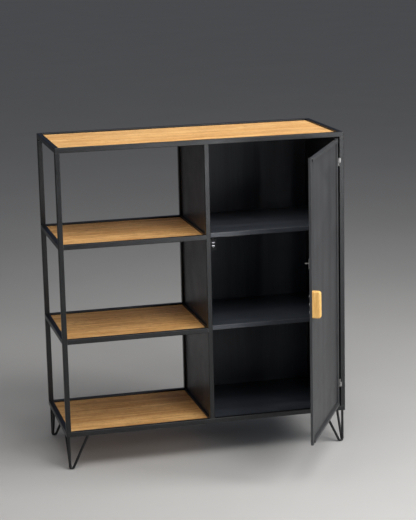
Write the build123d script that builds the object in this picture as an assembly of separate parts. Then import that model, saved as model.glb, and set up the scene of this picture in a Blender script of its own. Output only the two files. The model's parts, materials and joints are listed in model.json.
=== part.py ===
from build123d import *
import os
from math import acos, atan2, cos, hypot, sin

os.makedirs("parts", exist_ok=True)

# Welded steel sideboard: an open bay of wooden shelves beside a steel cabinet with one hinged door.
# Millimetres. X runs left to right, Y from the front plane (0) to the back, Z up from the floor.
# The door is drawn where it stands at rest, swung open about its hinge pins.

# ---- carcass ----
width = 900.0
depth = 360.0
height = 1000.0
tube = 15.0
tube_wall = 1.5
tube_corner = 1.5
leg_height = 105.0
bays = 3
cabinet_clear = 415.0
sheet = 1.2

# ---- wooden panels ----
panel_thickness = 8.0
panel_recess = 5.0
panel_gap = 1.0
panel_ease = 0.6
tab_thickness = 2.0
tab_length = 22.0
tab_reach = 18.0
tab_inset = 70.0
tab_hole_from_weld = 10.8
tab_hole = 4.3

# ---- screws ----
screw_shank = 4.0
screw_pilot = 4.1
screw_head = 7.4
screw_head_height = 2.2
screw_head_round = 0.9
frame_screw_length = 7.0
handle_screw_length = 22.0
pilot_past_tip = 0.2
cross_slot = 0.9
cross_depth = 1.1
cross_length = 4.0

# ---- hairpin legs ----
rod = 8.0
foot_bend = 7.0
leg_lean = 60.0

# ---- cabinet inside ----
shelf_rise = 2.0
lip_height = 13.5
lip_setback = 18.0
lip_fold = 1.0
floor_recess = 1.0
floor_flange = 10.0

# ---- door ----
door_open_angle = 60.4
door_thickness = 8.0
door_face = 15.0
door_wall = 1.2
door_corner = 1.0
door_panel_recess = 5.0
hinge_gap = 6.0
latch_gap = 3.0
door_end_gap = 4.0
pin_forward = 1.0

# ---- hinges ----
barrel = 5.4
post_knuckle_length = 14.0
door_knuckle_length = 9.0
knuckle_gap = 1.6
collar = 4.4
collar_clearance = 0.2
pin = 3.0
pin_clearance = 0.04
hinge_from_end = 76.5
hinge_web = 3.0
web_behind_axis = 0.9
leaf_thickness = 1.0
leaf_lap = 4.0
pin_head = 1.2
pin_head_width = 4.4

# ---- handle ----
handle_height = 82.0
handle_reach = 25.5
handle_width = 15.0
handle_corner = 9.0
handle_round = 5.5
handle_screw_pitch = 24.0

# ---- double roller catch ----
catch_height_above_floor = 674.0
roller = 6.6
roller_length = 9.0
roller_rim = 0.5
roller_offset = 5.2
roller_travel = 1.5
roller_play = 0.3
axle = 2.4
axle_end = 1.4
axle_play = 0.1
axle_tip_play = 0.2
spring_bore = 7.1
throat = 4.4
throat_width = 9.0
housing_height = 34.0
housing_width = 17.0
housing_front = 9.8
housing_depth = 16.0
roller_setback = 4.6
ear_length = 12.0
ear_thickness = 2.0
catch_tab_thickness = 2.0
catch_tab_back = 40.0
catch_tab_height = 34.0
adjuster_length = 3.5
adjuster_slot_length = 5.9
adjuster_slot = 0.8
spring_wire = 0.6
spring_diameter = 5.6
spring_turns = 3
spring_slack = 0.05
strike_plate_thickness = 1.2
strike_plate_height = 30.0
strike_reach = 14.0
strike_width = 6.0
strike_thickness = 3.2
strike_tip_chamfer = 0.8

# ---- worked out from the above ----
left = -width / 2
right = width / 2
base_top = leg_height + tube
shelf_pitch = (height - base_top) / bays
lower_top = base_top + shelf_pitch
upper_top = base_top + 2 * shelf_pitch
middle_right = right - tube - cabinet_clear
middle_left = middle_right - tube
middle = (middle_left + middle_right) / 2
under_top = height - tube
front_centre = tube / 2
back_centre = depth - tube / 2
bay_left = left + tube
cabinet_right = right - tube
sheet_half = sheet / 2

hinge_x = cabinet_right - hinge_gap / 2
hinge_y = -pin_forward
door_right = cabinet_right - hinge_gap
door_left = middle_right + latch_gap
door_bottom = base_top + door_end_gap
door_top = under_top - door_end_gap
door_middle = (door_bottom + door_top) / 2
latch_x = door_left + door_face / 2
catch_z = catch_height_above_floor


def block(x0, x1, y0, y1, z0, z1):
    centre = Pos((x0 + x1) / 2, (y0 + y1) / 2, (z0 + z1) / 2)
    return centre * Box(x1 - x0, y1 - y0, z1 - z0)


def upright_cylinder(x, y, z0, z1, diameter):
    return Pos(x, y, (z0 + z1) / 2) * Cylinder(diameter / 2, z1 - z0)


def tube_section():
    outer = RectangleRounded(tube, tube, tube_corner)
    inside = tube - 2 * tube_wall
    return outer - Rectangle(inside, inside)


def tube_along_x(x0, x1, y, z):
    return Pos(x0, y, z) * Rot(0, 90, 0) * extrude(tube_section(), amount=x1 - x0)


def tube_along_y(y0, y1, x, z):
    return Pos(x, y0, z) * Rot(-90, 0, 0) * extrude(tube_section(), amount=y1 - y0)


def tube_along_z(z0, z1, x, y):
    return Pos(x, y, z0) * extrude(tube_section(), amount=z1 - z0)


def mitred_rails(z_top):
    """Four tubes mitred into a rectangle, their upper faces at z_top: front, back, left, right."""
    z0 = z_top - tube
    opening = block(bay_left, cabinet_right, tube, depth - tube, z0, z_top)
    ring = block(left, right, 0, depth, z0, z_top) - opening
    ring = fillet(ring.edges(), tube_corner)
    w = tube_wall
    core = block(left + w, right - w, w, depth - w, z0 + w, z_top - w)
    t = tube - w
    core = core - block(left + t, right - t, t, depth - t, z0, z_top)
    ring = ring - core
    outer = [(left, 0), (right, 0), (right, depth), (left, depth)]
    inner = [(bay_left, tube), (cabinet_right, tube)]
    inner = inner + [(cabinet_right, depth - tube), (bay_left, depth - tube)]
    rails = []
    for side in range(4):
        after = (side + 1) % 4
        outline = Polygon(outer[side], outer[after], inner[after], inner[side], align=None)
        prism = Pos(0, 0, z0) * extrude(outline, amount=tube)
        rails.append(ring & prism)
    front_rail, right_rail, back_rail, left_rail = rails
    return front_rail, back_rail, left_rail, right_rail


def pan_screw(length):
    """Cross-slotted pan-head screw: head above the XY plane, shank below it."""
    head = Pos(0, 0, screw_head_height / 2) * Cylinder(screw_head / 2, screw_head_height)
    head = fillet(head.edges().group_by(Axis.Z)[-1], screw_head_round)
    z = screw_head_height - cross_depth / 2
    head = head - Pos(0, 0, z) * Box(cross_length, cross_slot, cross_depth)
    head = head - Pos(0, 0, z) * Box(cross_slot, cross_length, cross_depth)
    return head + upright_cylinder(0, 0, -length, 0, screw_shank)


def group(solids):
    return Compound(children=list(solids))


nodes = {}

# ---- frame: two mitred rings, six posts between them, crossbars at the middle posts ----
top_rails = mitred_rails(height)
base_rails = mitred_rails(base_top)
for index, side in enumerate(("front", "back", "left", "right")):
    nodes["top_rail_" + side] = top_rails[index]
    nodes["base_rail_" + side] = base_rails[index]

post_places = {"left": left + tube / 2, "middle": middle, "right": right - tube / 2}
for place, x in post_places.items():
    nodes["post_front_" + place] = tube_along_z(base_top, under_top, x, front_centre)
    nodes["post_back_" + place] = tube_along_z(base_top, under_top, x, back_centre)

panel_under_top = height - panel_recess - panel_thickness
crossbar_z = panel_under_top - tube / 2
nodes["top_crossbar"] = tube_along_y(tube, depth - tube, middle, crossbar_z)
nodes["base_crossbar"] = tube_along_y(tube, depth - tube, middle, base_top - tube / 2)

# ---- open shelves: three tubes and a flat bar against the divider at each level ----
bar_right = middle - sheet_half
for level, z_top in (("upper", upper_top), ("lower", lower_top)):
    z = z_top - tube / 2
    rail = level + "_shelf_rail_"
    nodes[rail + "front"] = tube_along_x(bay_left, middle_left, front_centre, z)
    nodes[rail + "back"] = tube_along_x(bay_left, middle_left, back_centre, z)
    nodes[rail + "left"] = tube_along_y(tube, depth - tube, left + tube / 2, z)
    nodes[rail + "right"] = block(middle_left, bar_right, tube, depth - tube, z_top - tube, z_top)

# ---- tabs under the wooden panels and the screws driven up through them ----
tabs = []
tab_screws = []
pilots = {}


def add_tab(x, y, reach_x, reach_y, z_top, panel):
    """A tab whose welded edge is centred at (x, y) and which reaches inwards from there."""
    half = tab_length / 2
    span_x = sorted((x, x + reach_x * tab_reach)) if reach_x else (x - half, x + half)
    span_y = sorted((y, y + reach_y * tab_reach)) if reach_y else (y - half, y + half)
    z1 = z_top - panel_recess - panel_thickness
    z0 = z1 - tab_thickness
    hole_x = x + reach_x * tab_hole_from_weld
    hole_y = y + reach_y * tab_hole_from_weld
    tab = block(*span_x, *span_y, z0, z1)
    tabs.append(tab - upright_cylinder(hole_x, hole_y, z0, z1, tab_hole))
    tab_screws.append(Pos(hole_x, hole_y, z0) * Rot(180, 0, 0) * pan_screw(frame_screw_length))
    deep = frame_screw_length - tab_thickness + pilot_past_tip
    pilots.setdefault(panel, []).append(upright_cylinder(hole_x, hole_y, z1, z1 + deep, screw_pilot))


bay_panels = {"base_panel": base_top, "lower_shelf_panel": lower_top, "upper_shelf_panel": upper_top}
for panel, z_top in bay_panels.items():
    for y in (tab_inset, depth - tab_inset):
        add_tab(bay_left, y, 1, 0, z_top, panel)
        add_tab(middle_left, y, -1, 0, z_top, panel)
for x in (left + 2 * tab_inset, middle_left - tab_inset, right - 2 * tab_inset):
    add_tab(x, tube, 0, 1, height, "top_panel")
    add_tab(x, depth - tube, 0, -1, height, "top_panel")
nodes["panel_tabs"] = group(tabs)


def wooden_panel(panel, x_end, z_top):
    z1 = z_top - panel_recess
    y0 = tube + panel_gap
    y1 = depth - tube - panel_gap
    board = block(bay_left + panel_gap, x_end - panel_gap, y0, y1, z1 - panel_thickness, z1)
    board = fillet(board.edges(), panel_ease)
    for pilot in pilots[panel]:
        board = board - pilot
    return board


for panel, z_top in bay_panels.items():
    nodes[panel] = wooden_panel(panel, middle_left, z_top)
nodes["top_panel"] = wooden_panel("top_panel", cabinet_right, height)

# ---- cabinet walls, floor and shelves in folded sheet ----
side_x = right - tube / 2
nodes["divider_sheet"] = block(
    middle - sheet_half, middle + sheet_half, tube, depth - tube, base_top, panel_under_top - tube
)
nodes["side_sheet"] = block(
    side_x - sheet_half, side_x + sheet_half, tube, depth - tube, base_top, under_top
)
nodes["back_sheet"] = block(
    middle_right, cabinet_right, back_centre - sheet_half, back_centre + sheet_half, base_top, under_top
)

floor_top = base_top - floor_recess
floor_pan = block(middle_right, cabinet_right, tube, depth - tube, floor_top - floor_flange, floor_top)
floor_hollow = block(
    middle_right + sheet,
    cabinet_right - sheet,
    tube + sheet,
    depth - tube - sheet,
    floor_top - floor_flange,
    floor_top - sheet,
)
nodes["cabinet_floor"] = floor_pan - floor_hollow


def cabinet_shelf(z_top):
    """Steel shelf between divider and side sheet, folded down along its front and both sides."""
    x0 = middle + sheet_half
    x1 = side_x - sheet_half
    z0 = z_top - lip_height
    y_back = back_centre - sheet_half
    shelf = block(middle_right, cabinet_right, lip_setback, y_back, z_top - sheet, z_top)
    shelf = shelf + block(middle_right, cabinet_right, lip_setback, lip_setback + sheet, z0, z_top)
    front_edge = shelf.edges().filter_by(Axis.X).group_by(Axis.Y)[0].sort_by(Axis.Z)[-1]
    shelf = fillet(front_edge, lip_fold)
    shelf = shelf + block(x0, x1, lip_setback + lip_fold, depth - tube, z_top - sheet, z_top)
    shelf = shelf + block(x0, x0 + sheet, tube, depth - tube, z0, z_top)
    return shelf + block(x1 - sheet, x1, tube, depth - tube, z0, z_top)


nodes["cabinet_shelf_upper"] = cabinet_shelf(upper_top + shelf_rise)
nodes["cabinet_shelf_lower"] = cabinet_shelf(lower_top + shelf_rise)


# ---- hairpin legs: a bent rod and a brace welded to its foot ----
def hairpin_leg():
    """Leg for the front left corner, with its outer corner at the origin."""
    axis = tube / 2
    top = leg_height
    centre_x = axis + foot_bend
    centre_z = rod / 2 + foot_bend
    lean_x = axis + leg_lean
    away = hypot(lean_x - centre_x, top - centre_z)
    tangent = atan2(top - centre_z, lean_x - centre_x) - acos(foot_bend / away)
    touch = (centre_x + foot_bend * cos(tangent), centre_z + foot_bend * sin(tangent))
    slope_x = (lean_x - touch[0]) / (top - touch[1])
    over = rod
    start = (axis, axis, top + over)
    bend_start = (axis, axis, centre_z)
    bend_low = (centre_x, axis, centre_z - foot_bend)
    bend_end = (touch[0], axis, touch[1])
    finish = (lean_x + slope_x * over, axis, top + over)
    path = Line(start, bend_start)
    path = path + ThreePointArc(bend_start, bend_low, bend_end)
    path = path + Line(bend_end, finish)
    section = Plane(origin=start, z_dir=(0, 0, -1)) * Circle(rod / 2)
    leg = sweep(section, path=path)
    brace_foot = Vector(axis + rod / 4, axis, rod / 2 + 1)
    brace_top = Vector(axis, axis + leg_lean, top)
    run = brace_top - brace_foot
    brace_plane = Plane(origin=brace_foot, z_dir=run.normalized())
    brace = extrude(brace_plane * Circle(rod / 2), amount=run.length + over)
    brace = brace + Pos(*brace_foot) * Sphere(rod / 2)
    leg = leg + brace
    reach = leg_lean + 3 * rod
    return leg & block(-reach, reach, -reach, reach, -1, top)


front_left_leg = hairpin_leg()
front_right_leg = mirror(front_left_leg, about=Plane.YZ)
back_left_leg = mirror(front_left_leg, about=Plane.XZ)
back_right_leg = mirror(front_right_leg, about=Plane.XZ)
nodes["leg_front_left"] = Pos(left, 0, 0) * front_left_leg
nodes["leg_front_right"] = Pos(right, 0, 0) * front_right_leg
nodes["leg_back_left"] = Pos(left, depth, 0) * back_left_leg
nodes["leg_back_right"] = Pos(right, depth, 0) * back_right_leg

# ---- door, drawn closed and swung open at the end ----
door_nodes = {}


def flat_tube(length):
    outer = RectangleRounded(door_face, door_thickness, door_corner)
    inner = Rectangle(door_face - 2 * door_wall, door_thickness - 2 * door_wall)
    return extrude(outer - inner, amount=length)


stile_height = door_top - door_bottom
door_depth_centre = door_thickness / 2
hinge_stile_x = door_right - door_face / 2
hinge_stile = Pos(hinge_stile_x, door_depth_centre, door_bottom) * flat_tube(stile_height)
latch_stile = Pos(latch_x, door_depth_centre, door_bottom) * flat_tube(stile_height)
rail_start = door_left + door_face
rail_end = door_right - door_face
lying = Rot(0, 90, 0) * Rot(0, 0, 90) * flat_tube(rail_end - rail_start)
door_nodes["door_rail_top"] = Pos(rail_start, door_depth_centre, door_top - door_face / 2) * lying
door_nodes["door_rail_bottom"] = Pos(rail_start, door_depth_centre, door_bottom + door_face / 2) * lying
door_nodes["door_panel"] = block(
    rail_start,
    rail_end,
    door_panel_recess,
    door_panel_recess + sheet,
    door_bottom + door_face,
    door_top - door_face,
)

handle = block(
    latch_x - handle_width / 2,
    latch_x + handle_width / 2,
    -handle_reach,
    0,
    door_middle - handle_height / 2,
    door_middle + handle_height / 2,
)
outer_ends = handle.edges().filter_by(Axis.X).group_by(Axis.Y)[0]
handle = fillet(outer_ends, handle_corner)
seat = handle.edges().group_by(Axis.Y)[-1]
handle = fillet([edge for edge in handle.edges() if edge not in seat], handle_round)
handle_screws = []
for step in (-1, 0, 1):
    z = door_middle + step * handle_screw_pitch
    lay = Pos(latch_x, door_thickness, z) * Rot(-90, 0, 0)
    handle_screws.append(lay * pan_screw(handle_screw_length))
    deep = handle_screw_length - door_thickness + pilot_past_tip
    handle = handle - Pos(latch_x, -deep / 2, z) * Rot(90, 0, 0) * Cylinder(screw_pilot / 2, deep)
    hole = Pos(latch_x, door_depth_centre, z) * Rot(90, 0, 0) * Cylinder(tab_hole / 2, 2 * door_thickness)
    latch_stile = latch_stile - hole
door_nodes["door_stile_hinge"] = hinge_stile
door_nodes["door_stile_latch"] = latch_stile
door_nodes["handle"] = handle
door_nodes["handle_screws"] = group(handle_screws)

# ---- hinges: a knuckle on the post holding the pin, a running knuckle on the door ----
def span(a, b):
    return min(a, b), max(a, b)


def leaf(x_barrel, x_edge, x_lap, z_span):
    """Web from a knuckle into the hinge gap and the thin leaf that laps over the tube's front face."""
    web_y = hinge_y + web_behind_axis
    web = block(*span(x_barrel, x_edge), web_y, web_y + hinge_web, *z_span)
    return web + block(*span(x_barrel, x_lap), hinge_y, hinge_y + leaf_thickness, *z_span)


web_start = barrel / 2 - pin / 2
running_bore = pin + 2 * pin_clearance
hinge_pins = []
for end, up, z in (
    ("top", 1, door_top - hinge_from_end),
    ("bottom", -1, door_bottom + hinge_from_end),
):
    post_face = z + up * knuckle_gap / 2
    post_end = post_face + up * post_knuckle_length
    door_face_z = z - up * knuckle_gap / 2
    door_end = door_face_z - up * door_knuckle_length
    post_z = span(post_face, post_end)
    door_z = span(door_face_z, door_end)
    post_knuckle = upright_cylinder(hinge_x, hinge_y, *post_z, barrel)
    post_knuckle = post_knuckle + leaf(hinge_x + web_start, cabinet_right, cabinet_right + leaf_lap, post_z)
    post_knuckle = post_knuckle - upright_cylinder(hinge_x, hinge_y, *post_z, pin)
    door_knuckle = upright_cylinder(hinge_x, hinge_y, *door_z, barrel)
    door_knuckle = door_knuckle + leaf(hinge_x - web_start, door_right, door_right - leaf_lap, door_z)
    door_knuckle = door_knuckle - upright_cylinder(hinge_x, hinge_y, *door_z, running_bore)
    hinge_pin = upright_cylinder(hinge_x, hinge_y, *span(post_end, door_end), pin)
    collar_z = span(post_face, door_face_z + up * collar_clearance)
    hinge_pin = hinge_pin + upright_cylinder(hinge_x, hinge_y, *collar_z, collar)
    head_z = span(post_end, post_end + up * pin_head)
    hinge_pin = hinge_pin + upright_cylinder(hinge_x, hinge_y, *head_z, pin_head_width)
    nodes["hinge_post_knuckle_" + end] = post_knuckle
    hinge_pins.append(hinge_pin)
    door_nodes["hinge_door_knuckle_" + end] = door_knuckle
nodes["hinge_pins"] = group(hinge_pins)

# ---- double roller catch on a tab behind the middle front post ----
tab_x1 = middle_right + catch_tab_thickness
tab_z = (catch_z - catch_tab_height / 2, catch_z + catch_tab_height / 2)
catch_tab = block(middle_right, tab_x1, housing_front, catch_tab_back, *tab_z)
housing_x1 = tab_x1 + housing_width
housing_back = housing_front + housing_depth
roller_y = housing_front + roller_setback
z0 = catch_z - housing_height / 2
z1 = catch_z + housing_height / 2
housing = block(tab_x1, housing_x1, housing_front, housing_back, z0, z1)
housing = housing + block(tab_x1, tab_x1 + ear_thickness, housing_back, housing_back + ear_length, z0, z1)
chamber_half = roller_length / 2 + roller_play
chamber_reach = roller_offset + roller / 2 + roller_travel + roller_play
chamber_back = roller_y + roller / 2 + roller_play
chamber_x = (latch_x - chamber_half, latch_x + chamber_half)
housing = housing - block(
    *chamber_x, housing_front, chamber_back, catch_z - chamber_reach, catch_z + chamber_reach
)
throat_x = (latch_x - throat_width / 2, latch_x + throat_width / 2)
housing = housing - block(
    *throat_x, housing_front, housing_back, catch_z - throat / 2, catch_z + throat / 2
)
housing = housing - upright_cylinder(latch_x, roller_y, z0, z1, spring_bore)
slot_half = roller_length / 2 + axle_end + axle_tip_play
slot_x = (latch_x - slot_half, latch_x + slot_half)
slot_y = (roller_y - axle / 2 - axle_play, roller_y + axle / 2 + axle_play)
for side in (-1, 1):
    slot_in = catch_z + side * (roller_offset - axle / 2 - axle_play)
    slot_out = catch_z + side * (roller_offset + roller_travel + axle / 2 + axle_play)
    housing = housing - block(*slot_x, *slot_y, *span(slot_in, slot_out))
catch_screws = []
screw_y = housing_back + ear_length / 2
for sign in (-1, 1):
    z = catch_z + sign * housing_height / 4
    lay = Pos(tab_x1 + ear_thickness, screw_y, z) * Rot(0, 90, 0)
    catch_screws.append(lay * pan_screw(frame_screw_length))
    hole = Pos(tab_x1, screw_y, z) * Rot(0, 90, 0) * Cylinder(tab_hole / 2, 4 * ear_thickness)
    housing = housing - hole
    catch_tab = catch_tab - hole
nodes["catch_tab"] = catch_tab
nodes["catch_housing"] = housing
nodes["frame_screws"] = group(tab_screws + catch_screws)

adjusters = []
coil_radius = (spring_diameter - spring_wire) / 2
spring_inner = roller_offset + roller / 2 + spring_wire / 2 + spring_slack
spring_outer = housing_height / 2 - adjuster_length - spring_wire / 2 - spring_slack
spring_run = spring_outer - spring_inner
helix = Helix(pitch=spring_run / spring_turns, height=spring_run, radius=coil_radius)
wire = Plane(origin=helix @ 0, z_dir=helix % 0) * Circle(spring_wire / 2)
coil = sweep(wire, path=helix, is_frenet=True)
barrel_of_roller = Cylinder(roller / 2, roller_length)
barrel_of_roller = fillet(barrel_of_roller.edges().filter_by(GeomType.CIRCLE), roller_rim)
lying_roller = Rot(0, 90, 0) * (barrel_of_roller + Cylinder(axle / 2, roller_length + 2 * axle_end))
for name, side in (("upper", 1), ("lower", -1)):
    nodes["catch_roller_" + name] = Pos(latch_x, roller_y, catch_z + side * roller_offset) * lying_roller
    coil_start = catch_z + (spring_inner if side > 0 else -spring_outer)
    nodes["catch_spring_" + name] = Pos(latch_x, roller_y, coil_start) * coil
    outer_z = catch_z + side * housing_height / 2
    plug = upright_cylinder(latch_x, roller_y, *span(outer_z, outer_z - side * adjuster_length), spring_bore)
    slot_z = span(outer_z, outer_z - side * cross_depth)
    half_length = adjuster_slot_length / 2
    half_slot = adjuster_slot / 2
    plug = plug - block(
        latch_x - half_length, latch_x + half_length, roller_y - half_slot, roller_y + half_slot, *slot_z
    )
    adjusters.append(plug)
nodes["catch_adjusters"] = group(adjusters)

plate_y1 = door_thickness + strike_plate_thickness
strike = block(
    door_left,
    door_left + door_face,
    door_thickness,
    plate_y1,
    catch_z - strike_plate_height / 2,
    catch_z + strike_plate_height / 2,
)
tongue = block(
    latch_x - strike_width / 2,
    latch_x + strike_width / 2,
    door_thickness,
    door_thickness + strike_reach,
    catch_z - strike_thickness / 2,
    catch_z + strike_thickness / 2,
)
tip = tongue.edges().filter_by(Axis.X).group_by(Axis.Y)[-1]
tongue = chamfer(tip, strike_tip_chamfer)
door_nodes["strike"] = strike + tongue

# ---- swing the door about its pins ----
swing = Pos(hinge_x, hinge_y, 0) * Rot(0, 0, door_open_angle) * Pos(-hinge_x, -hinge_y, 0)
for name, closed in door_nodes.items():
    nodes[name] = swing * closed

for name, shape in nodes.items():
    export_step(shape, "parts/" + name + ".step")
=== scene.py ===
import json
import math
import random

import bmesh
import bpy
from mathutils import Matrix, Vector


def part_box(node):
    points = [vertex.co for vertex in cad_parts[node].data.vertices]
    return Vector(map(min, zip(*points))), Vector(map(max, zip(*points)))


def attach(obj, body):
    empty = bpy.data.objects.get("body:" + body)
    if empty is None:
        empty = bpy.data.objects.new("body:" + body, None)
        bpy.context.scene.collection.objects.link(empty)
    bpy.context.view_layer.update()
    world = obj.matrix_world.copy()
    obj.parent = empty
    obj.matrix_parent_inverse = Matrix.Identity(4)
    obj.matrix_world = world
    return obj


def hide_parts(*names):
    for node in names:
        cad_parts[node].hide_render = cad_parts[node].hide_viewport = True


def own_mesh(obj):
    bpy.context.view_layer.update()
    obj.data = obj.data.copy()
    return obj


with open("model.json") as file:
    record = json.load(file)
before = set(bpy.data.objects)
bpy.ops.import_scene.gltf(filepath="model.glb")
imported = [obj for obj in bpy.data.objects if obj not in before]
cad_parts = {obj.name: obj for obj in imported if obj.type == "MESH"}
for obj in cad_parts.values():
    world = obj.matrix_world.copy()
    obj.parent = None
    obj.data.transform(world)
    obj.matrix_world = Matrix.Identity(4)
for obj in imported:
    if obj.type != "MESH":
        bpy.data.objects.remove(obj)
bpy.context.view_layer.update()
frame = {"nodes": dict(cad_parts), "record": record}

random.seed(60)
MM = 0.001

# ---- places read from the steel frame ----
carcass_low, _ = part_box("base_rail_left")
_, carcass_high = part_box("top_rail_right")
left_x = carcass_low.x
right_x = carcass_high.x
front_y = carcass_low.y
back_y = carcass_high.y
top_z = carcass_high.z
base_low, base_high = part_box("base_rail_front")
tube = base_high.z - base_low.z
base_z = base_high.z
under_z = top_z - tube
leg_top_z = base_low.z
mid_low, mid_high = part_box("post_front_middle")
mid_left = mid_low.x
mid_right = mid_high.x
shelf_tops = [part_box(level + "_shelf_rail_front")[1].z for level in ("lower", "upper")]


# ---- shader node helpers ----
def new_group(name, inputs, outputs):
    """A node group with named sockets: inputs are (label, kind, value), outputs are (label, kind)."""
    tree = bpy.data.node_groups.new(name, "ShaderNodeTree")
    kinds = {"number": "NodeSocketFloat", "vector": "NodeSocketVector", "colour": "NodeSocketColor"}
    for label, kind, value in inputs:
        socket = tree.interface.new_socket(name=label, in_out="INPUT", socket_type=kinds[kind])
        if value is not None:
            socket.default_value = value
    for label, kind in outputs:
        tree.interface.new_socket(name=label, in_out="OUTPUT", socket_type=kinds[kind])
    given = tree.nodes.new("NodeGroupInput")
    made = tree.nodes.new("NodeGroupOutput")
    return tree, given, made


def wire(tree, source, target):
    """Joins an output to an input, or sets the input to a plain value."""
    if isinstance(source, bpy.types.NodeSocket):
        tree.links.new(source, target)
    else:
        target.default_value = source


def noise(tree, place, scale, detail=4.0, roughness=0.55, distortion=0.0):
    node = tree.nodes.new("ShaderNodeTexNoise")
    wire(tree, place, node.inputs["Vector"])
    wire(tree, scale, node.inputs["Scale"])
    node.inputs["Detail"].default_value = detail
    node.inputs["Roughness"].default_value = roughness
    node.inputs["Distortion"].default_value = distortion
    return node.outputs["Fac"]


def stretched(tree, place, scale):
    """The place multiplied axis by axis; a small factor draws a pattern out along its axis."""
    node = tree.nodes.new("ShaderNodeVectorMath")
    node.operation = "MULTIPLY"
    wire(tree, place, node.inputs[0])
    wire(tree, scale, node.inputs[1])
    return node.outputs["Vector"]


def arithmetic(tree, kind, first, second, third=None):
    node = tree.nodes.new("ShaderNodeMath")
    node.operation = kind
    wire(tree, first, node.inputs[0])
    wire(tree, second, node.inputs[1])
    if third is not None:
        wire(tree, third, node.inputs[2])
    return node.outputs["Value"]


def product(tree, first, second):
    return arithmetic(tree, "MULTIPLY", first, second)


def plus_share(tree, value, share, base):
    """base + value * share."""
    return arithmetic(tree, "MULTIPLY_ADD", value, share, base)


def ramp(tree, value, low, high, out_low=0.0, out_high=1.0):
    """Smooth step of value from low..high to out_low..out_high."""
    node = tree.nodes.new("ShaderNodeMapRange")
    node.interpolation_type = "SMOOTHSTEP"
    wire(tree, value, node.inputs["Value"])
    wire(tree, low, node.inputs["From Min"])
    wire(tree, high, node.inputs["From Max"])
    wire(tree, out_low, node.inputs["To Min"])
    wire(tree, out_high, node.inputs["To Max"])
    return node.outputs["Result"]


# the mix node's colour sockets share their names with its number and vector ones, so they go by place
MIX_SHARE, MIX_FIRST, MIX_SECOND, MIX_RESULT = 0, 6, 7, 2


def blend_colour(tree, share, first, second):
    """first where share is 0, second where it is 1."""
    node = tree.nodes.new("ShaderNodeMix")
    node.data_type = "RGBA"
    wire(tree, share, node.inputs[MIX_SHARE])
    wire(tree, first, node.inputs[MIX_FIRST])
    wire(tree, second, node.inputs[MIX_SECOND])
    return node.outputs[MIX_RESULT]


def opaque(tone):
    return (*tone, 1.0)


# ---- shader node groups ----
def build_drag_marks():
    """Fine parallel brush lines with broader faint bands, from a place stretched along the stroke."""
    tree, given, made = new_group(
        "drag_marks",
        [("Place", "vector", None), ("Stretch", "vector", (60.0, 60.0, 1.2)), ("Fineness", "number", 9.0)],
        [("Lines", "number"), ("Bands", "number")],
    )
    spot = stretched(tree, given.outputs["Place"], given.outputs["Stretch"])
    lines = noise(tree, spot, given.outputs["Fineness"], detail=5.0, roughness=0.65)
    bands = noise(tree, spot, scale=0.7, detail=3.0, roughness=0.5, distortion=0.3)
    wire(tree, ramp(tree, lines, low=0.3, high=0.7), made.inputs["Lines"])
    wire(tree, ramp(tree, bands, low=0.32, high=0.68), made.inputs["Bands"])
    return tree


def build_edge_wear_and_highlight():
    """Where an outer edge has been rubbed, and where a painted highlight runs along a rounded edge or
    fold: a soft band, broken up by noise.
    """
    tree, given, made = new_group(
        "edge_wear_and_highlight",
        [("Place", "vector", None), ("Radius", "number", 0.0012), ("Reach", "number", 0.5)],
        [("Worn_and_highlight", "number")],
    )
    bevel = tree.nodes.new("ShaderNodeBevel")
    bevel.samples = 4
    wire(tree, given.outputs["Radius"], bevel.inputs["Radius"])
    geometry = tree.nodes.new("ShaderNodeNewGeometry")
    facing = tree.nodes.new("ShaderNodeVectorMath")
    facing.operation = "DOT_PRODUCT"
    wire(tree, bevel.outputs["Normal"], facing.inputs[0])
    wire(tree, geometry.outputs["True Normal"], facing.inputs[1])
    turned = arithmetic(tree, "SUBTRACT", 1.0, facing.outputs["Value"])
    patches = noise(tree, given.outputs["Place"], scale=55.0, detail=4.0, roughness=0.6)
    broken = ramp(tree, patches, low=0.62, high=0.35)
    edge = ramp(tree, turned, low=0.02, high=0.3)
    worn_and_highlight = product(tree, product(tree, edge, broken), given.outputs["Reach"])
    wire(tree, worn_and_highlight, made.inputs["Worn_and_highlight"])
    return tree


def build_paint_skin():
    """Soft clouds, and the fine pimpled skin of baked paint."""
    tree, given, made = new_group(
        "paint_skin",
        [("Place", "vector", None), ("Cloud size", "number", 7.0), ("Pimples", "number", 900.0)],
        [("Clouds", "number"), ("Skin", "number")],
    )
    place = given.outputs["Place"]
    clouds = noise(tree, place, given.outputs["Cloud size"], detail=5.0, roughness=0.6, distortion=0.6)
    pimples = noise(tree, place, given.outputs["Pimples"], detail=2.0, roughness=0.5)
    wire(tree, ramp(tree, clouds, low=0.3, high=0.7), made.inputs["Clouds"])
    wire(tree, pimples, made.inputs["Skin"])
    return tree


RING_DARKNESS = 0.6
MOTTLE_DARKNESS = 0.3
BROAD_DARKNESS = 0.3
PORE_DARKNESS = 0.6
STREAK_HEIGHT = 0.6
PORE_DEPTH = 0.7


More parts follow.
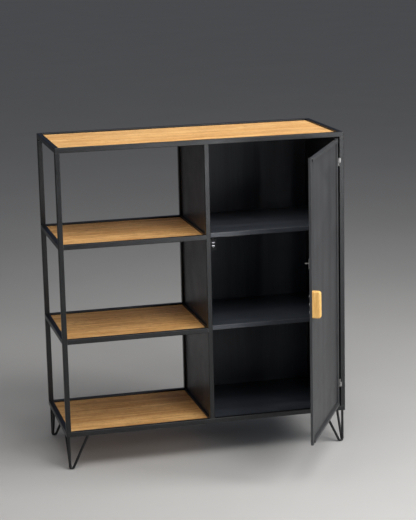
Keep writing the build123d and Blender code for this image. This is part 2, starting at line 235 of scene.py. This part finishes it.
def build_timber_grain():
    """Straight-grained honey timber: long streaks, cloudy figure and short open pores."""
    tree, given, made = new_group(
        "timber_grain",
        [
            ("Place", "vector", None),
            ("Along", "vector", (1.0, 22.0, 22.0)),
            ("Pale", "colour", (0.8, 0.5, 0.2, 1.0)),
            ("Middle", "colour", (0.6, 0.33, 0.12, 1.0)),
            ("Dark", "colour", (0.3, 0.14, 0.045, 1.0)),
            ("Figure", "number", 0.5),
        ],
        [("Colour", "colour"), ("Pores", "number"), ("Relief", "number")],
    )
    middle = given.outputs["Middle"]
    dark = given.outputs["Dark"]
    spot = stretched(tree, given.outputs["Place"], given.outputs["Along"])

    streaks = noise(tree, spot, scale=3.2, detail=9.0, roughness=0.68, distortion=0.3)
    broad = noise(tree, spot, scale=0.5, detail=3.0, roughness=0.55, distortion=0.9)
    mottle_spot = stretched(tree, spot, (9.0, 1.6, 1.6))
    mottle = noise(tree, mottle_spot, scale=2.0, detail=4.0, roughness=0.6, distortion=0.4)
    pore_spot = stretched(tree, spot, (36.0, 13.0, 13.0))
    pores = ramp(tree, noise(tree, pore_spot, scale=1.5, detail=2.0, roughness=0.5), low=0.54, high=0.7)

    rings = tree.nodes.new("ShaderNodeTexWave")
    rings.wave_type = "BANDS"
    rings.bands_direction = "Y"
    wire(tree, spot, rings.inputs["Vector"])
    rings.inputs["Scale"].default_value = 0.9
    rings.inputs["Distortion"].default_value = 7.0
    rings.inputs["Detail"].default_value = 4.0
    rings.inputs["Detail Scale"].default_value = 0.7
    ring_share = product(tree, product(tree, rings.outputs["Fac"], given.outputs["Figure"]), RING_DARKNESS)

    streak_share = ramp(tree, streaks, low=0.36, high=0.64)
    mottle_share = ramp(tree, mottle, low=0.42, high=0.7, out_high=MOTTLE_DARKNESS)
    broad_share = ramp(tree, broad, low=0.42, high=0.7, out_high=BROAD_DARKNESS)
    tone = blend_colour(tree, streak_share, given.outputs["Pale"], middle)
    tone = blend_colour(tree, ring_share, tone, middle)
    tone = blend_colour(tree, mottle_share, tone, dark)
    tone = blend_colour(tree, broad_share, tone, dark)
    tone = blend_colour(tree, product(tree, pores, PORE_DARKNESS), tone, dark)
    ridges = product(tree, streaks, STREAK_HEIGHT)
    relief = arithmetic(tree, "SUBTRACT", ridges, product(tree, pores, PORE_DEPTH))
    wire(tree, tone, made.inputs["Colour"])
    wire(tree, pores, made.inputs["Pores"])
    wire(tree, relief, made.inputs["Relief"])
    return tree


drag_marks = build_drag_marks()
edge_wear_and_highlight = build_edge_wear_and_highlight()
paint_skin = build_paint_skin()
timber_grain = build_timber_grain()


# ---- materials ----
def start_material(name):
    material = bpy.data.materials.new(name)
    material.use_nodes = True
    tree = material.node_tree
    shader = next(node for node in tree.nodes if node.type == "BSDF_PRINCIPLED")
    place = tree.nodes.new("ShaderNodeTexCoord").outputs["Object"]
    return material, tree, shader, place


def put(tree, group, **values):
    """A group placed in a material; keyword names match its sockets with _ for spaces."""
    node = tree.nodes.new("ShaderNodeGroup")
    node.node_tree = group
    for label, value in values.items():
        wire(tree, value, node.inputs[label.replace("_", " ")])
    return node.outputs


def bump(tree, shader, height, distance):
    node = tree.nodes.new("ShaderNodeBump")
    node.inputs["Distance"].default_value = distance
    wire(tree, height, node.inputs["Height"])
    wire(tree, node.outputs["Normal"], shader.inputs["Normal"])


# base tone and the paler tone that brush marks lift it to
COAT = (0.0035, 0.0038, 0.0045), (0.011, 0.0113, 0.012)
SHEET = (0.027, 0.030, 0.0365), (0.066, 0.071, 0.082)
DOOR = (0.031, 0.0315, 0.033), (0.07, 0.071, 0.073)
SHELF = (0.026, 0.030, 0.038), (0.068, 0.076, 0.091)
MOULDING = (0.0035, 0.0038, 0.0045), (0.008, 0.008, 0.008)
BEAD = (0.022, 0.022, 0.023), (0.07, 0.068, 0.066)
# bare steel for rubbed edges; the same tone also paints the highlight along the shelves' folded lips and
# the door's front edges
BARE_STEEL_AND_HIGHLIGHT = (0.22, 0.21, 0.2)

# how far a pattern is drawn out along each axis
UPRIGHT = (60.0, 60.0, 1.2)
LENGTHWISE = (1.2, 60.0, 60.0)
ACROSS = (60.0, 1.2, 60.0)
ALL_WAYS = (26.0, 26.0, 26.0)
SHEET_UPRIGHT = (42.0, 42.0, 0.9)
SHEET_LEVEL = (1.4, 34.0, 34.0)

# roughness where the coat is glossiest and where it is dullest
FRAME_GLOSS = (0.27, 0.38)
DOOR_GLOSS = (0.36, 0.46)

FRAME_WEAR = 0.35

LINE_LIFT = 0.5
BAND_LIFT = 0.35
LEAST_LIFT = 0.55
LINE_ROUGHNESS = 0.05
WORN_ROUGHNESS = -0.12
WORN_METAL = 0.8
SKIN_HEIGHT = 0.5
LINE_HEIGHT = 0.5
COAT_RELIEF = 0.06 * MM


def dark_steel(name, stretch, tones, gloss, wear_and_highlight, shine=0.34, edge_reach=1.2 * MM):
    """Blackened steel under a thin semi-matt coat, rubbed through in places along its edges; a wide,
    strong edge band also paints a highlight there.
    """
    base, lifted = tones
    smooth, dull = gloss
    material, tree, shader, place = start_material(name)
    drag = put(tree, drag_marks, Place=place, Stretch=stretch)
    skin = put(tree, paint_skin, Place=place)
    worn_and_highlight = put(tree, edge_wear_and_highlight, Place=place, Radius=edge_reach, Reach=wear_and_highlight)["Worn_and_highlight"]

    lift = plus_share(tree, drag["Bands"], BAND_LIFT, product(tree, drag["Lines"], LINE_LIFT))
    lift = product(tree, lift, ramp(tree, skin["Clouds"], low=0.0, high=1.0, out_low=LEAST_LIFT))
    colour = blend_colour(tree, lift, opaque(base), opaque(lifted))
    colour = blend_colour(tree, worn_and_highlight, colour, opaque(BARE_STEEL_AND_HIGHLIGHT))
    wire(tree, colour, shader.inputs["Base Color"])

    rough = plus_share(tree, skin["Clouds"], dull - smooth, smooth)
    rough = plus_share(tree, drag["Lines"], LINE_ROUGHNESS, rough)
    rough = plus_share(tree, worn_and_highlight, WORN_ROUGHNESS, rough)
    wire(tree, rough, shader.inputs["Roughness"])
    wire(tree, product(tree, worn_and_highlight, WORN_METAL), shader.inputs["Metallic"])

    height = plus_share(tree, skin["Skin"], SKIN_HEIGHT, product(tree, drag["Lines"], LINE_HEIGHT))
    bump(tree, shader, height, COAT_RELIEF)
    shader.inputs["Specular IOR Level"].default_value = shine
    return material


frame_upright = dark_steel("blackened_frame_upright", UPRIGHT, COAT, FRAME_GLOSS, wear_and_highlight=FRAME_WEAR)
frame_level = dark_steel("blackened_frame_level", LENGTHWISE, COAT, FRAME_GLOSS, wear_and_highlight=FRAME_WEAR)
frame_cross = dark_steel("blackened_frame_cross", ACROSS, COAT, FRAME_GLOSS, wear_and_highlight=FRAME_WEAR)
sheet_upright = dark_steel("blackened_sheet_upright", SHEET_UPRIGHT, SHEET, (0.3, 0.42), wear_and_highlight=0.3)
# the wide, strong edge band on shelves and floor paints the highlight along their folded front lips, over
# some real edge wear
sheet_level = dark_steel(
    "blackened_sheet_level", SHEET_LEVEL, SHELF, (0.28, 0.4), wear_and_highlight=0.9, shine=0.4, edge_reach=4 * MM
)
door_sheet = dark_steel("blackened_door_sheet", SHEET_UPRIGHT, DOOR, (0.4, 0.5), wear_and_highlight=0.3, shine=0.2)
# the stronger edge band on the door's stiles and rails is partly rubbed-through paint and partly a painted
# highlight along their front edges
door_upright = dark_steel("blackened_door_upright", UPRIGHT, DOOR, DOOR_GLOSS, wear_and_highlight=0.8, shine=0.2)
door_level = dark_steel("blackened_door_level", LENGTHWISE, DOOR, DOOR_GLOSS, wear_and_highlight=0.8, shine=0.2)
leg_black = dark_steel("black_hairpin_rod", UPRIGHT, COAT, (0.26, 0.36), wear_and_highlight=0.4)
catch_black = dark_steel("black_catch_body", ALL_WAYS, MOULDING, (0.5, 0.6), wear_and_highlight=0.1, shine=0.15)
weld_dark = dark_steel("blackened_weld", ALL_WAYS, BEAD, (0.34, 0.46), wear_and_highlight=0.7)

TIMBER_CLOUD_SIZE = 11.0
CLOUD_TINT = 0.16
CLOUD_ROUGHNESS = 0.12
PORE_ROUGHNESS = 0.15
GRAIN_RELIEF = 0.18 * MM
TIMBER_EDGE = 1.5 * MM
TIMBER_WEAR = 0.35
TIMBER_SHINE = 0.36


def timber(name, along, pale, middle, dark, figure, roughness):
    """Oiled timber with the grain drawn out along one axis."""
    material, tree, shader, place = start_material(name)
    grain = put(
        tree,
        timber_grain,
        Place=place,
        Along=along,
        Pale=opaque(pale),
        Middle=opaque(middle),
        Dark=opaque(dark),
        Figure=figure,
    )
    skin = put(tree, paint_skin, Place=place, Cloud_size=TIMBER_CLOUD_SIZE)
    rubbed = put(tree, edge_wear_and_highlight, Place=place, Radius=TIMBER_EDGE, Reach=TIMBER_WEAR)
    cloud_tint = product(tree, skin["Clouds"], CLOUD_TINT)
    colour = blend_colour(tree, cloud_tint, grain["Colour"], opaque(middle))
    colour = blend_colour(tree, rubbed["Worn_and_highlight"], colour, opaque(pale))
    wire(tree, colour, shader.inputs["Base Color"])
    rough = plus_share(tree, skin["Clouds"], CLOUD_ROUGHNESS, roughness)
    rough = plus_share(tree, grain["Pores"], PORE_ROUGHNESS, rough)
    wire(tree, rough, shader.inputs["Roughness"])
    bump(tree, shader, grain["Relief"], GRAIN_RELIEF)
    shader.inputs["Specular IOR Level"].default_value = TIMBER_SHINE
    return material


panel_timber = timber(
    "oiled_timber_panel",
    along=(1.0, 20.0, 20.0),
    pale=(0.88, 0.57, 0.24),
    middle=(0.61, 0.31, 0.095),
    dark=(0.23, 0.083, 0.02),
    figure=0.5,
    roughness=0.5,
)
handle_timber = timber(
    "oiled_timber_handle",
    along=(70.0, 70.0, 6.0),
    pale=(0.82, 0.53, 0.19),
    middle=(0.64, 0.34, 0.09),
    dark=(0.36, 0.16, 0.045),
    figure=0.3,
    roughness=0.34,
)

TOOLING_FINENESS = 14.0
DULL_PATCH_SIZE = 60.0
DULLING = 0.62
TOOLING_RELIEF = 0.02 * MM
LINE_DULLING = 0.4
PATCH_DULLING = 0.4


def bright_steel(name, stretch, tone, gloss):
    """Plated or polished steel with fine tooling lines and dulled patches."""
    smooth, dull = gloss
    material, tree, shader, place = start_material(name)
    drag = put(tree, drag_marks, Place=place, Stretch=stretch, Fineness=TOOLING_FINENESS)
    skin = put(tree, paint_skin, Place=place, Cloud_size=DULL_PATCH_SIZE)
    dulled = tuple(channel * DULLING for channel in tone)
    share = plus_share(tree, drag["Lines"], LINE_DULLING, product(tree, skin["Clouds"], PATCH_DULLING))
    wire(tree, blend_colour(tree, share, opaque(tone), opaque(dulled)), shader.inputs["Base Color"])
    wire(tree, plus_share(tree, share, dull - smooth, smooth), shader.inputs["Roughness"])
    shader.inputs["Metallic"].default_value = 1.0
    bump(tree, shader, drag["Lines"], TOOLING_RELIEF)
    return material


roller_bright = bright_steel("polished_roller", LENGTHWISE, (0.31, 0.305, 0.33), (0.3, 0.42))
spring_bright = bright_steel("spring_wire", ALL_WAYS, (0.6, 0.6, 0.58), (0.22, 0.36))
hinge_bright = bright_steel("plated_hinge", UPRIGHT, (0.27, 0.262, 0.255), (0.38, 0.52))
screw_bright = bright_steel("plated_screw", ALL_WAYS, (0.66, 0.65, 0.62), (0.24, 0.42))
strike_bright = bright_steel("stamped_strike", LENGTHWISE, (0.62, 0.61, 0.58), (0.22, 0.38))

slot_materials = {
    "frame_paint": frame_upright,
    "sheet_paint": sheet_upright,
    "leg_paint": leg_black,
    "oak_panel": panel_timber,
    "oak_handle": handle_timber,
    "roller_steel": roller_bright,
    "spring_steel": spring_bright,
    "hinge_steel": hinge_bright,
    "screw_steel": screw_bright,
    "strike_steel": strike_bright,
    "catch_black": catch_black,
}
LEVEL_WORDS = ("rail_front", "rail_back")
CROSS_WORDS = ("rail_left", "rail_right", "crossbar")
LEVEL_SHEET_WORDS = ("shelf", "floor")


def named_with(node, words):
    return any(word in node for word in words)


def finish_for(node, slot_name):
    """The slot's material, with its brush marks turned to run along the piece."""
    if node == "door_panel":
        return door_sheet
    if node.startswith("door_stile"):
        return door_upright
    if node.startswith("door_rail"):
        return door_level
    if slot_name == "frame_paint" and named_with(node, LEVEL_WORDS):
        return frame_level
    if slot_name == "frame_paint" and named_with(node, CROSS_WORDS):
        return frame_cross
    if slot_name == "sheet_paint" and named_with(node, LEVEL_SHEET_WORDS):
        return sheet_level
    return slot_materials[slot_name]


for entry in frame["record"]["subparts"]:
    node = entry["node"]
    node_slots = frame["nodes"][node].data.materials
    node_slots.clear()
    node_slots.append(finish_for(node, entry["material_slot"]))


# ---- added pieces ----
FRONT, BACK = Vector((0, -1, 0)), Vector((0, 1, 0))
LEFT, RIGHT = Vector((-1, 0, 0)), Vector((1, 0, 0))
UP, DOWN = Vector((0, 0, 1)), Vector((0, 0, -1))


def finish_piece(mesh, name, body, material):
    bmesh.ops.recalc_face_normals(mesh, faces=mesh.faces)
    data = bpy.data.meshes.new(name)
    mesh.to_mesh(data)
    mesh.free()
    for face in data.polygons:
        face.use_smooth = True
    data.materials.append(material)
    piece = bpy.data.objects.new(name, data)
    bpy.context.scene.collection.objects.link(piece)
    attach(piece, body)
    return piece


# ---- welds ----
RIPPLE_PITCH = 0.0011
STEP_SHARE = 0.4
LEAST_STEPS = 4
RIPPLE_MEAN, RIPPLE_DEPTH = 0.85, 0.15
BEAD_END, BEAD_END_RATE = 0.25, 4.0
BEAD_LEAST_WIDTH, BEAD_WIDTH_SWELL = 0.8, 0.2
BEAD_RIBS = 6
BEAD_UNEVEN = (0.92, 1.08)


def weld_run(mesh, start, end, out, half_width, rise):
    """A rippled bead from start to end standing off a face whose outward direction is out."""
    along = end - start
    length = along.length
    along.normalize()
    side = along.cross(out).normalized()
    steps = max(LEAST_STEPS, int(length / (RIPPLE_PITCH * STEP_SHARE)))
    rows = []
    for step in range(steps + 1):
        share = step / steps
        taper = min(1.0, BEAD_END_RATE * min(share, 1.0 - share) + BEAD_END)
        wave = RIPPLE_MEAN + RIPPLE_DEPTH * math.sin(2 * math.pi * share * length / RIPPLE_PITCH)
        swell = taper * wave * random.uniform(*BEAD_UNEVEN)
        width = half_width * (BEAD_LEAST_WIDTH + BEAD_WIDTH_SWELL * swell)
        centre = start + along * (share * length)
        row = []
        for rib in range(BEAD_RIBS + 1):
            turn = math.pi * rib / BEAD_RIBS
            offset = side * (math.cos(turn) * width)
            row.append(mesh.verts.new(centre + offset + out * (math.sin(turn) * rise * swell)))
        rows.append(row)
    for first, second in zip(rows, rows[1:]):
        for rib in range(BEAD_RIBS):
            mesh.faces.new((first[rib], first[rib + 1], second[rib + 1], second[rib]))
        mesh.faces.new((first[BEAD_RIBS], first[0], second[0], second[BEAD_RIBS]))
    mesh.faces.new(list(reversed(rows[0])))
    mesh.faces.new(rows[-1])


COLLAR_STEPS, COLLAR_RIBS = 40, 8
COLLAR_MEAN, COLLAR_DEPTH, COLLAR_LUMPS = 0.9, 0.12, 11
COLLAR_UNEVEN = 0.06
COLLAR_FLATNESS = 0.8


def weld_collar(mesh, centre, radius, rise, stretch_x=1.0, stretch_y=1.0):
    """A lumpy bead round a rod where it meets the underside of a tube."""
    rows = []
    for step in range(COLLAR_STEPS):
        turn = 2 * math.pi * step / COLLAR_STEPS
        uneven = random.uniform(-COLLAR_UNEVEN, COLLAR_UNEVEN)
        lump = rise * (COLLAR_MEAN + COLLAR_DEPTH * math.sin(COLLAR_LUMPS * turn) + uneven)
        row = []
        for rib in range(COLLAR_RIBS):
            curl = 2 * math.pi * rib / COLLAR_RIBS
            reach = radius + lump * math.cos(curl)
            x = reach * math.cos(turn) * stretch_x
            y = reach * math.sin(turn) * stretch_y
            z = lump * COLLAR_FLATNESS * math.sin(curl)
            row.append(mesh.verts.new(centre + Vector((x, y, z))))
        rows.append(row)
    for step in range(COLLAR_STEPS):
        first, second = rows[step], rows[(step + 1) % COLLAR_STEPS]
        for rib in range(COLLAR_RIBS):
            after = (rib + 1) % COLLAR_RIBS
            mesh.faces.new((first[rib], second[rib], second[after], first[after]))


SEAM_HALF, SEAM_RISE = 1.1 * MM, 0.22 * MM
FILLET_HALF, FILLET_RISE = 1.5 * MM, 1.0 * MM
SEAM_INSET = 1.2 * MM


def seam(start, end, out):
    """A nearly flush bead, as ground down on an outer face."""
    weld_run(seams, Vector(start), Vector(end), out, SEAM_HALF, SEAM_RISE)


post_spans = [(left_x, left_x + tube), (mid_left, mid_right), (right_x - tube, right_x)]
post_rows = (front_y, back_y - tube)
outer_faces = [(front_y, FRONT), (back_y, BACK)]
corner_signs = [
    (x, sign_x, y, sign_y)
    for x, sign_x in ((left_x, 1), (right_x, -1))
    for y, sign_y in ((front_y, 1), (back_y, -1))
]

seams = bmesh.new()
for x0, x1 in post_spans:
    for y, out in outer_faces:
        for z in (base_z, under_z):
            seam((x0 + SEAM_INSET, y, z), (x1 - SEAM_INSET, y, z), out)
for x, out in ((left_x, LEFT), (right_x, RIGHT)):
    for y0 in post_rows:
        for z in (base_z, under_z):
            seam((x, y0 + SEAM_INSET, z), (x, y0 + tube - SEAM_INSET, z), out)
for z in shelf_tops:
    low, high = z - tube + SEAM_INSET, z - SEAM_INSET
    for y, out in outer_faces:
        for x in (left_x + tube, mid_left):
            seam((x, y, low), (x, y, high), out)
    for y in (front_y + tube, back_y - tube):
        seam((left_x, y, low), (left_x, y, high), LEFT)
for x, sign_x, y, sign_y in corner_signs:
    outer = (x + sign_x * SEAM_INSET, y + sign_y * SEAM_INSET, top_z)
    inner = (x + sign_x * (tube - SEAM_INSET), y + sign_y * (tube - SEAM_INSET), top_z)
    seam(outer, inner, UP)
finish_piece(seams, "seam_welds", "carcass", weld_dark)

corners = bmesh.new()
for x0, x1 in post_spans:
    for y0 in post_rows:
        for x, out in ((x0, LEFT), (x1, RIGHT)):
            if left_x < x < right_x:
                for z, facing in ((base_z, UP), (under_z, DOWN)):
                    start, end = Vector((x, y0 + SEAM_INSET, z)), Vector((x, y0 + tube - SEAM_INSET, z))
                    weld_run(corners, start, end, (out + facing).normalized(), FILLET_HALF, FILLET_RISE)
finish_piece(corners, "corner_welds", "carcass", weld_dark)

ROD_RADIUS = 4.0 * MM
ROD_SPREAD = 60.0 * MM
STRAIGHT_RISE, SLANT_RISE = 1.1 * MM, 1.2 * MM
SLANT_STRETCH = 1.14

collars = bmesh.new()
for x, sign_x, y, sign_y in corner_signs:
    foot = Vector((x + sign_x * tube / 2, y + sign_y * tube / 2, leg_top_z))
    beside = foot + Vector((sign_x * ROD_SPREAD, 0, 0))
    behind = foot + Vector((0, sign_y * ROD_SPREAD, 0))
    weld_collar(collars, foot, ROD_RADIUS, STRAIGHT_RISE)
    weld_collar(collars, beside, ROD_RADIUS, SLANT_RISE, stretch_x=SLANT_STRETCH)
    weld_collar(collars, behind, ROD_RADIUS, SLANT_RISE, stretch_y=SLANT_STRETCH)
finish_piece(collars, "leg_welds", "carcass", weld_dark)

# ---- catch springs, drawn as wire coils in place of the spring parts ----
WIRE_RADIUS = 0.3 * MM
SPRING_TURNS = 3
STEPS_A_TURN = 32
WIRE_RIBS = 10


def coil_spring(node):
    """A coil in the place of a steel one, fixed to the carcass; the part it stands in for is hidden."""
    low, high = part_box(node)
    middle = (low + high) / 2
    height = high.z - low.z
    radius = (high.x - low.x) / 2 - WIRE_RADIUS
    steps = STEPS_A_TURN * SPRING_TURNS
    mesh = bmesh.new()
    rows = []
    for step in range(steps + 1):
        share = step / steps
        turn = 2 * math.pi * SPRING_TURNS * share
        out = Vector((math.cos(turn), math.sin(turn), 0))
        wire_z = low.z + WIRE_RADIUS + (height - 2 * WIRE_RADIUS) * share
        centre = Vector((middle.x, middle.y, wire_z)) + out * radius
        row = []
        for rib in range(WIRE_RIBS):
            curl = 2 * math.pi * rib / WIRE_RIBS
            row.append(mesh.verts.new(centre + (out * math.cos(curl) + UP * math.sin(curl)) * WIRE_RADIUS))
        rows.append(row)
    for first, second in zip(rows, rows[1:]):
        for rib in range(WIRE_RIBS):
            after = (rib + 1) % WIRE_RIBS
            mesh.faces.new((first[rib], first[after], second[after], second[rib]))
    mesh.faces.new(rows[0])
    mesh.faces.new(rows[-1])
    piece = finish_piece(mesh, node + "_coil", "carcass", spring_bright)
    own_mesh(piece)
    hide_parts(node)


coil_spring("catch_spring_upper")
coil_spring("catch_spring_lower")

# ---- floor ----
FLOOR_DARKER = (0.385, 0.38, 0.37)
FLOOR_PALER = (0.43, 0.425, 0.415)
FLOOR_RADIUS = 60.0
FLOOR_DROP = 0.5 * MM
FLOOR_SIDES = 64
FLOOR_ROUGHNESS = 0.7

floor_material, floor_tree, floor_shader, floor_place = start_material("pale_floor")
floor_clouds = noise(floor_tree, floor_place, scale=1.6)
floor_tone = blend_colour(floor_tree, floor_clouds, opaque(FLOOR_DARKER), opaque(FLOOR_PALER))
wire(floor_tree, floor_tone, floor_shader.inputs["Base Color"])
floor_shader.inputs["Roughness"].default_value = FLOOR_ROUGHNESS
floor_mesh = bmesh.new()
bmesh.ops.create_circle(floor_mesh, cap_ends=True, radius=FLOOR_RADIUS, segments=FLOOR_SIDES)
floor_data = bpy.data.meshes.new("studio_floor")
floor_mesh.to_mesh(floor_data)
floor_mesh.free()
floor_data.materials.append(floor_material)
studio_floor = bpy.data.objects.new("studio_floor", floor_data)
studio_floor.location = (0, 0, -FLOOR_DROP)
bpy.context.scene.collection.objects.link(studio_floor)

# ---- camera ----
CAMERA_PLACE = Vector((-1.1712, -4.7510, 1.7000))
CAMERA_YAW = math.radians(13.956)
CAMERA_PITCH = math.radians(12.339)
CAMERA_ROLL = math.radians(-1.324)
SENSOR_WIDTH = 36.0
LENS_LENGTH = 113.2

forward = Vector((
    math.sin(CAMERA_YAW) * math.cos(CAMERA_PITCH),
    math.cos(CAMERA_YAW) * math.cos(CAMERA_PITCH),
    -math.sin(CAMERA_PITCH),
))
level_right = Vector((math.cos(CAMERA_YAW), -math.sin(CAMERA_YAW), 0.0))
level_up = level_right.cross(forward)
camera_right = level_right * math.cos(CAMERA_ROLL) + level_up * math.sin(CAMERA_ROLL)
camera_up = level_up * math.cos(CAMERA_ROLL) - level_right * math.sin(CAMERA_ROLL)
camera_data = bpy.data.cameras.new("studio_camera")
camera_data.sensor_width = SENSOR_WIDTH
camera_data.lens = LENS_LENGTH
camera = bpy.data.objects.new("studio_camera", camera_data)
camera.matrix_world = Matrix((
    (camera_right.x, camera_up.x, -forward.x, CAMERA_PLACE.x),
    (camera_right.y, camera_up.y, -forward.y, CAMERA_PLACE.y),
    (camera_right.z, camera_up.z, -forward.z, CAMERA_PLACE.z),
    (0.0, 0.0, 0.0, 1.0),
))
bpy.context.scene.collection.objects.link(camera)
bpy.context.scene.camera = camera

# ---- lights ----
COOL = (0.96, 0.98, 1.0)
NEUTRAL = (0.97, 0.985, 1.0)
WARM = (1.0, 0.99, 0.98)
WHOLE = (0.0, 0.15, 0.5)
CABINET = (0.1, 0.1, 0.45)

# name, place, aim, width, height, power in watts, tint
SOFTBOXES = (
    ("front_right", (1.25, -3.0, 1.25), WHOLE, 0.9, 1.9, 43.0, COOL),
    ("cabinet_fill", (0.3, -1.5, 0.75), CABINET, 0.4, 0.9, 2.5, NEUTRAL),
    ("front_right_floor", (1.25, -3.6, 0.35), WHOLE, 1.2, 0.6, 8.0, COOL),
    ("high_left", (-1.2, -1.4, 2.8), WHOLE, 1.6, 1.2, 8.0, WARM),
    ("overhead", (0.2, -0.4, 3.0), WHOLE, 2.5, 2.0, 38.0, WARM),
    ("overhead_front", (0.4, -1.6, 3.0), WHOLE, 1.8, 1.2, 40.0, WARM),
    ("window_right", (2.29, -1.22, 2.0), WHOLE, 0.9, 1.3, 60.0, WARM),
)

for name, place, aim, width, height, power, tint in SOFTBOXES:
    light = bpy.data.lights.new(name, "AREA")
    light.shape = "RECTANGLE"
    light.size = width
    light.size_y = height
    light.energy = power
    light.color = tint
    lamp = bpy.data.objects.new(name, light)
    lamp.location = place
    lamp.visible_camera = False
    lamp.rotation_euler = (Vector(aim) - Vector(place)).to_track_quat("-Z", "Y").to_euler()
    bpy.context.scene.collection.objects.link(lamp)

LOW_AIR = (0.13, 0.185, 0.34)
HIGH_AIR = (1.0, 1.0, 1.0)
AIR_STRENGTH = 0.22

world = bpy.data.worlds.new("studio_air")
world.use_nodes = True
world_tree = world.node_tree
heading = world_tree.nodes.new("ShaderNodeTexCoord").outputs["Generated"]
split = world_tree.nodes.new("ShaderNodeSeparateXYZ")
wire(world_tree, heading, split.inputs[0])
height_share = ramp(world_tree, split.outputs["Z"], low=0.3, high=0.85)
air = blend_colour(world_tree, height_share, opaque(LOW_AIR), opaque(HIGH_AIR))
wire(world_tree, air, world_tree.nodes["Background"].inputs["Color"])
world_tree.nodes["Background"].inputs["Strength"].default_value = AIR_STRENGTH
bpy.context.scene.world = world
bpy.context.scene.view_settings.view_transform = "Standard"
